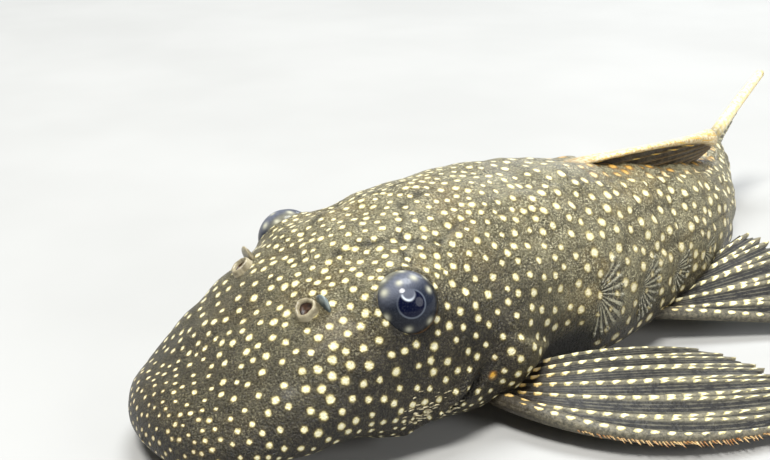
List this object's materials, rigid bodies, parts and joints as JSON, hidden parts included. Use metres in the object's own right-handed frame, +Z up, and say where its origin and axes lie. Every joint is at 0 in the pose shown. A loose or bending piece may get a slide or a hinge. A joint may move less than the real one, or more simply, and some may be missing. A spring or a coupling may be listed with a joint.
{
  "type": "bristlenose pleco",
  "caption": "Still life-size spotted bristlenose pleco lying on its belly, tail curved to one side, for display in a tank or on a shelf.",
  "frame": {"origin": "the flat of the belly below the middle of the trunk, at the level of the floor", "axes": "+X from the snout towards the tail, +Y towards the fish's right, +Z up"},
  "size_m": [0.0999, 0.058, 0.0201],
  "materials": {
    "skin": "satin, moist armoured skin with cream dots",
    "fin": "satin, ribbed",
    "eye": "wet gloss",
    "lips": "fine warts"
  },
  "bodies": {
    "root": {"head": "skin", "lips": "lips", "eye_left": "eye", "eye_right": "eye", "trunk": "skin", "rear_trunk": "skin", "tail": "skin", "pectoral_fin_left": "fin", "pectoral_fin_right": "fin", "pelvic_fin_left": "fin", "pelvic_fin_right": "fin", "dorsal_fin": "fin", "adipose_fin": "fin", "anal_fin": "fin", "caudal_fin": "fin"}
  },
  "joints": []
}
